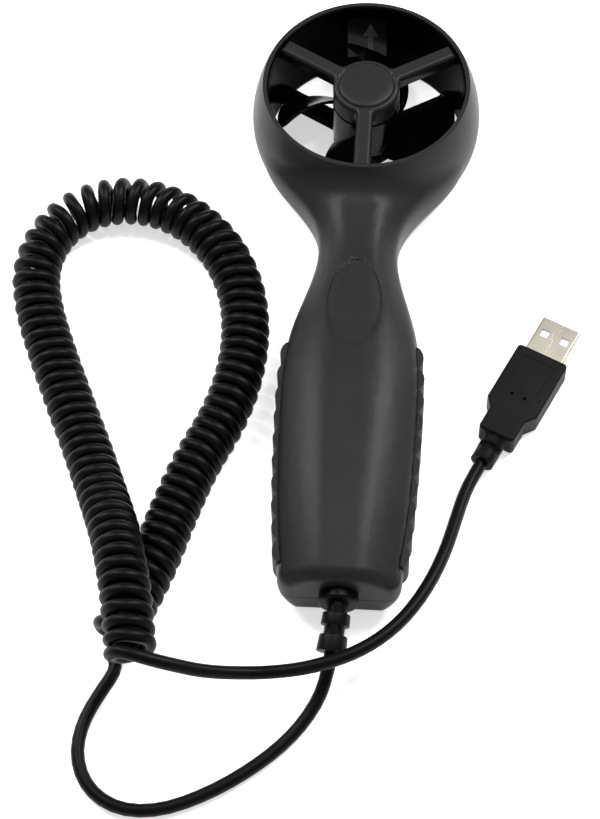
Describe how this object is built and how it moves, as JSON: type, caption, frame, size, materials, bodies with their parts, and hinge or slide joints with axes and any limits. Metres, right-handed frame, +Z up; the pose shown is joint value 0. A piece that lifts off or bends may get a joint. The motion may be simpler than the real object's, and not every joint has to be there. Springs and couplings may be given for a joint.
{
  "type": "vane anemometer probe",
  "caption": "Hand-held vane anemometer probe with a guarded ducted impeller head, waisted grip and a curly USB lead, lying on its back.",
  "frame": {"origin": "under the middle of the probe, lead and plug left out, on the surface that its back lies on", "axes": "+Y along the handle towards the head, +Z up out of the front face, which is also the duct's and the impeller's axis, +X to the right"},
  "size_m": [0.1667, 0.2566, 0.0294],
  "materials": {
    "dark_grey_plastic": "fine satin texture",
    "zinc_steel": "zinc plated",
    "grip_rubber": "matt",
    "black_gloss_plastic": "glossy",
    "smoked_plastic": "glossy, very dark",
    "bearing_brass": "turned",
    "magnet_metal": "nickel plated",
    "black_plastic": "matt",
    "black_jacket": "satin",
    "board_green": "solder mask",
    "header_white": "natural nylon",
    "tie_nylon": "natural nylon",
    "plug_black": "fine spark texture",
    "plug_nickel": "warm nickel plate",
    "insert_white": "smooth",
    "contact_gold": "gold flash"
  },
  "bodies": {
    "body": {"front_cover": "dark_grey_plastic", "rear_cover": "dark_grey_plastic", "cover_screws": "zinc_steel", "left_grip": "grip_rubber", "right_grip": "grip_rubber", "duct_sleeve": "black_gloss_plastic", "front_guard": "dark_grey_plastic", "hub_cap": "dark_grey_plastic", "front_bearing": "bearing_brass", "rear_guard": "black_gloss_plastic", "rear_bearing": "bearing_brass", "hall_sensor": "black_plastic", "sensor_wires": "black_jacket", "circuit_board": "board_green", "wire_header": "header_white", "main_chip": "black_plastic", "usb_chip": "black_plastic", "crystal": "zinc_steel", "capacitors": "black_plastic", "resistors": "black_plastic", "lead_header": "header_white", "inner_lead": "black_jacket", "cable_tie": "tie_nylon", "strain_relief": "black_jacket", "lead_to_coil": "black_jacket", "coil": "black_jacket", "lead_to_plug": "black_jacket", "plug_body": "plug_black", "plug_shell": "plug_nickel", "plug_insert": "insert_white", "plug_contacts": "contact_gold"},
    "rotor": {"impeller": "smoked_plastic", "impeller_shaft": "zinc_steel", "rotor_magnets": "magnet_metal"}
  },
  "joints": [
    {"name": "impeller_spin", "type": "hinge", "parent": "body", "child": "rotor", "pos_m": [0, 0.06305, 0.013], "axis": [0, 0, 1], "continuous": true}
  ]
}
